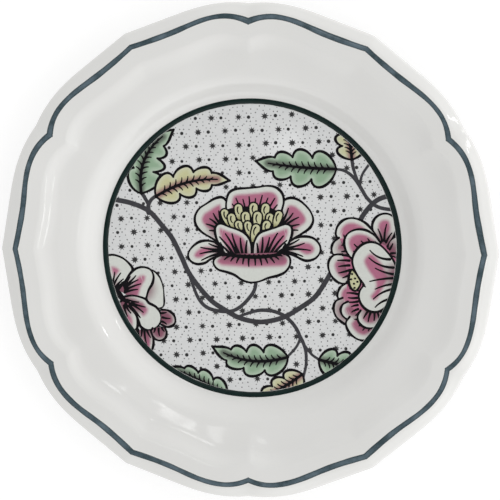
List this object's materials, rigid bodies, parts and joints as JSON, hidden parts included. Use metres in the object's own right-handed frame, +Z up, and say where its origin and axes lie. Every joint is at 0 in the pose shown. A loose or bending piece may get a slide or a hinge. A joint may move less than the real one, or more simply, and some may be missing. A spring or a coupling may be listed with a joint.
{
  "type": "dinner plate",
  "caption": "Round china dinner plate with a moulded brace-shaped rim, a painted rim line, a printed floral well and a foot ring to stand on.",
  "frame": {"origin": "centre of the foot ring, on the surface the plate stands on", "axes": "+Z up, out of the well; +X through one of the rim's six outward points; +Y the top of the print"},
  "size_m": [0.2732, 0.272, 0.0253],
  "materials": {
    "biscuit": "matte",
    "glaze": "gloss",
    "rim_blue": "gloss",
    "border_green": "gloss",
    "ground": "gloss",
    "charcoal": "gloss",
    "leaf_green": "gloss",
    "leaf_yellow": "gloss",
    "pink": "gloss",
    "stamen_yellow": "gloss"
  },
  "bodies": {
    "root": {"plate_body": "biscuit", "glaze_coat": "glaze", "glaze_foot_recess": "glaze", "rim_line": "rim_blue", "print_border": "border_green", "print_ground": "ground", "vine_main": "charcoal", "vine_right": "charcoal", "leaf_green_top": "leaf_green", "leaf_green_left": "leaf_green", "leaf_green_bottom": "leaf_green", "leaf_green_low_left": "leaf_green", "leaf_green_low_right": "leaf_green", "leaf_yellow_left": "leaf_yellow", "leaf_yellow_right": "leaf_yellow", "leaf_yellow_bottom": "leaf_yellow", "peony_centre_front_petals": "pink", "peony_centre_cup": "pink", "peony_centre_stamens": "stamen_yellow", "peony_centre_left_petals": "pink", "peony_centre_top_petals": "pink", "peony_centre_right_petals": "pink", "peony_left": "pink", "peony_right": "pink", "peony_right_pod": "stamen_yellow"}
  },
  "joints": []
}
